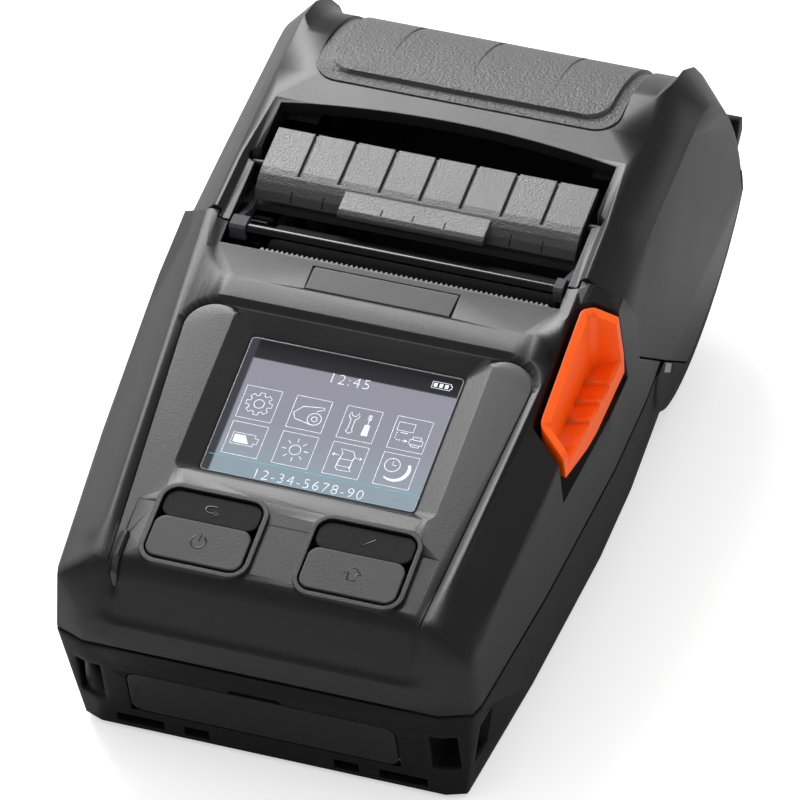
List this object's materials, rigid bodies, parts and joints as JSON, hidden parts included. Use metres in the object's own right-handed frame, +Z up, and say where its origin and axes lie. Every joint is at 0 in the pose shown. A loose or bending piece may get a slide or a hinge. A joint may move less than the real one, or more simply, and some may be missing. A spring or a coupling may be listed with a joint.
{
  "type": "portable thermal printer",
  "caption": "Hand-held thermal label printer with a sloped display panel, push keys, a release lever and a roll belly under a hinged lid.",
  "frame": {"origin": "middle of the overall box in X and Y, on the table", "axes": "+X to the user's right (the side of the release lever), +Y from the front face with the port cover to the rear hinge, +Z up"},
  "size_m": [0.0928, 0.1721, 0.0689],
  "materials": {
    "lower_shell": "fine spark-eroded grain",
    "upper_shell": "fine spark-eroded grain",
    "lid_shell": "fine spark-eroded grain",
    "seal": "matt black",
    "window": "clear, flat",
    "display": "liquid crystal panel",
    "light": "milky light pipe",
    "plate": "fine matt",
    "key": "grained silicone",
    "silicone": "plain silicone",
    "board": "green solder mask",
    "socket": "black moulded",
    "battery": "matt",
    "contact": "gold plated",
    "cover": "matt",
    "steel": "plain",
    "polished": "polished bar",
    "sheet": "zinc plated sheet",
    "heat_sink": "dark anodised",
    "head": "glazed ceramic",
    "brass": "cut brass",
    "gear": "natural acetal",
    "lever": "orange moulding, satin",
    "inner_plastic": "matt black moulding",
    "pad": "coarse grained",
    "flap": "satin grained",
    "roller": "ground rubber"
  },
  "bodies": {
    "case": {"lower_case": "lower_shell", "case_gasket": "seal", "upper_case": "upper_shell", "display_lens": "window", "lcd_module": "display", "light_pipe": "light", "nameplate": "plate", "key_mat": "silicone", "key_board": "board", "main_board": "board", "port_board": "board", "usb_socket": "steel", "power_socket": "socket", "buzzer": "socket", "battery_pack": "battery", "battery_contacts": "contact", "port_cover_pin": "steel", "case_screws": "steel", "board_screws": "steel", "print_frame": "sheet", "frame_screws": "steel", "tear_bar": "steel", "head_pin": "steel", "motor": "sheet", "idler_axle": "steel", "paper_bucket": "inner_plastic", "bucket_screws": "steel", "paper_sensor": "socket", "hinge_pin": "steel", "lid_spring": "steel"},
    "lid": {"lid_shell": "lid_shell", "lid_pad": "pad", "platen_bracket": "inner_plastic", "bracket_screws": "steel", "latch_pins": "steel", "peel_bar": "polished", "platen_bushes": "gear", "flap_pins": "steel"},
    "platen": {"platen_shaft": "steel", "platen_roller": "roller", "platen_gear": "gear"},
    "idler": {"idler_gear": "gear"},
    "pinion": {"motor_pinion": "brass"},
    "flap": {"peeler_flap": "flap"},
    "lever": {"release_lever": "lever", "latch_shaft": "steel", "latch_hooks": "steel", "lever_spring": "steel"},
    "head": {"heat_sink": "heat_sink", "thermal_head": "head", "head_springs": "steel"},
    "power_key": {"key_power": "key"},
    "feed_key": {"key_feed": "key"},
    "home_key": {"key_home": "key"},
    "enter_key": {"key_enter": "key"},
    "cover": {"port_cover": "cover"},
    "left_guide": {"guide_left": "inner_plastic"},
    "right_guide": {"guide_right": "inner_plastic"},
    "latch": {"battery_latch": "battery"}
  },
  "joints": [
    {"name": "lid_hinge", "type": "hinge", "parent": "case", "child": "lid", "pos_m": [0, 0.07938, 0.0346], "axis": [-1, 0, 0], "range_deg": [0, 90]},
    {"name": "platen_spin", "type": "hinge", "parent": "lid", "child": "platen", "pos_m": [0, 0.00025, 0.05273], "axis": [1, 0, 0], "continuous": true},
    {"name": "idler_spin", "type": "hinge", "parent": "case", "child": "idler", "pos_m": [0, -0.00681, 0.04057], "axis": [1, 0, 0], "continuous": true},
    {"name": "motor_spin", "type": "hinge", "parent": "case", "child": "pinion", "pos_m": [0, -0.01861, 0.0381], "axis": [1, 0, 0], "continuous": true},
    {"name": "flap_hinge", "type": "hinge", "parent": "lid", "child": "flap", "pos_m": [0, 0.01346, 0.06187], "axis": [-1, 0, 0], "range_deg": [0, 75]},
    {"name": "lever_turn", "type": "hinge", "parent": "case", "child": "lever", "pos_m": [0, 0.00379, 0.03604], "axis": [1, 0, 0], "range_deg": [0, 4.5], "stiffness_Nm_per_rad": 0.5, "springref_deg": -2.86},
    {"name": "head_tilt", "type": "hinge", "parent": "case", "child": "head", "pos_m": [0, -0.00909, 0.03512], "axis": [1, 0, 0], "range_deg": [0, 1.5], "stiffness_Nm_per_rad": 2, "springref_deg": -1.72},
    {"name": "cover_hinge", "type": "hinge", "parent": "case", "child": "cover", "pos_m": [0, -0.08171, 0.00836], "axis": [1, 0, 0], "range_deg": [0, 90]},
    {"name": "power_press", "type": "slide", "parent": "case", "child": "power_key", "axis": [0, 0.2261, -0.9741], "range_m": [0, 0.0006], "stiffness_N_per_m": 200, "springref_m": -0.0002},
    {"name": "feed_press", "type": "slide", "parent": "case", "child": "feed_key", "axis": [0, 0.2261, -0.9741], "range_m": [0, 0.0006], "stiffness_N_per_m": 200, "springref_m": -0.0002},
    {"name": "home_press", "type": "slide", "parent": "case", "child": "home_key", "axis": [0, 0.2261, -0.9741], "range_m": [0, 0.0006], "stiffness_N_per_m": 200, "springref_m": -0.0002},
    {"name": "enter_press", "type": "slide", "parent": "case", "child": "enter_key", "axis": [0, 0.2261, -0.9741], "range_m": [0, 0.0006], "stiffness_N_per_m": 200, "springref_m": -0.0002},
    {"name": "left_guide_slide", "type": "slide", "parent": "case", "child": "left_guide", "axis": [1, 0, 0], "range_m": [0, 0.0045]},
    {"name": "right_guide_slide", "type": "slide", "parent": "case", "child": "right_guide", "axis": [-1, 0, 0], "range_m": [0, 0.0045]},
    {"name": "latch_slide", "type": "slide", "parent": "case", "child": "latch", "axis": [0, -0.9995, -0.0325], "range_m": [0, 0.0025], "stiffness_N_per_m": 150, "springref_m": -0.001}
  ],
  "couplings": [
    {"joint": "idler_spin", "follows": "platen_spin", "ratio": -0.64706},
    {"joint": "motor_spin", "follows": "platen_spin", "ratio": 1.5714},
    {"joint": "right_guide_slide", "follows": "left_guide_slide", "ratio": 1}
  ]
}
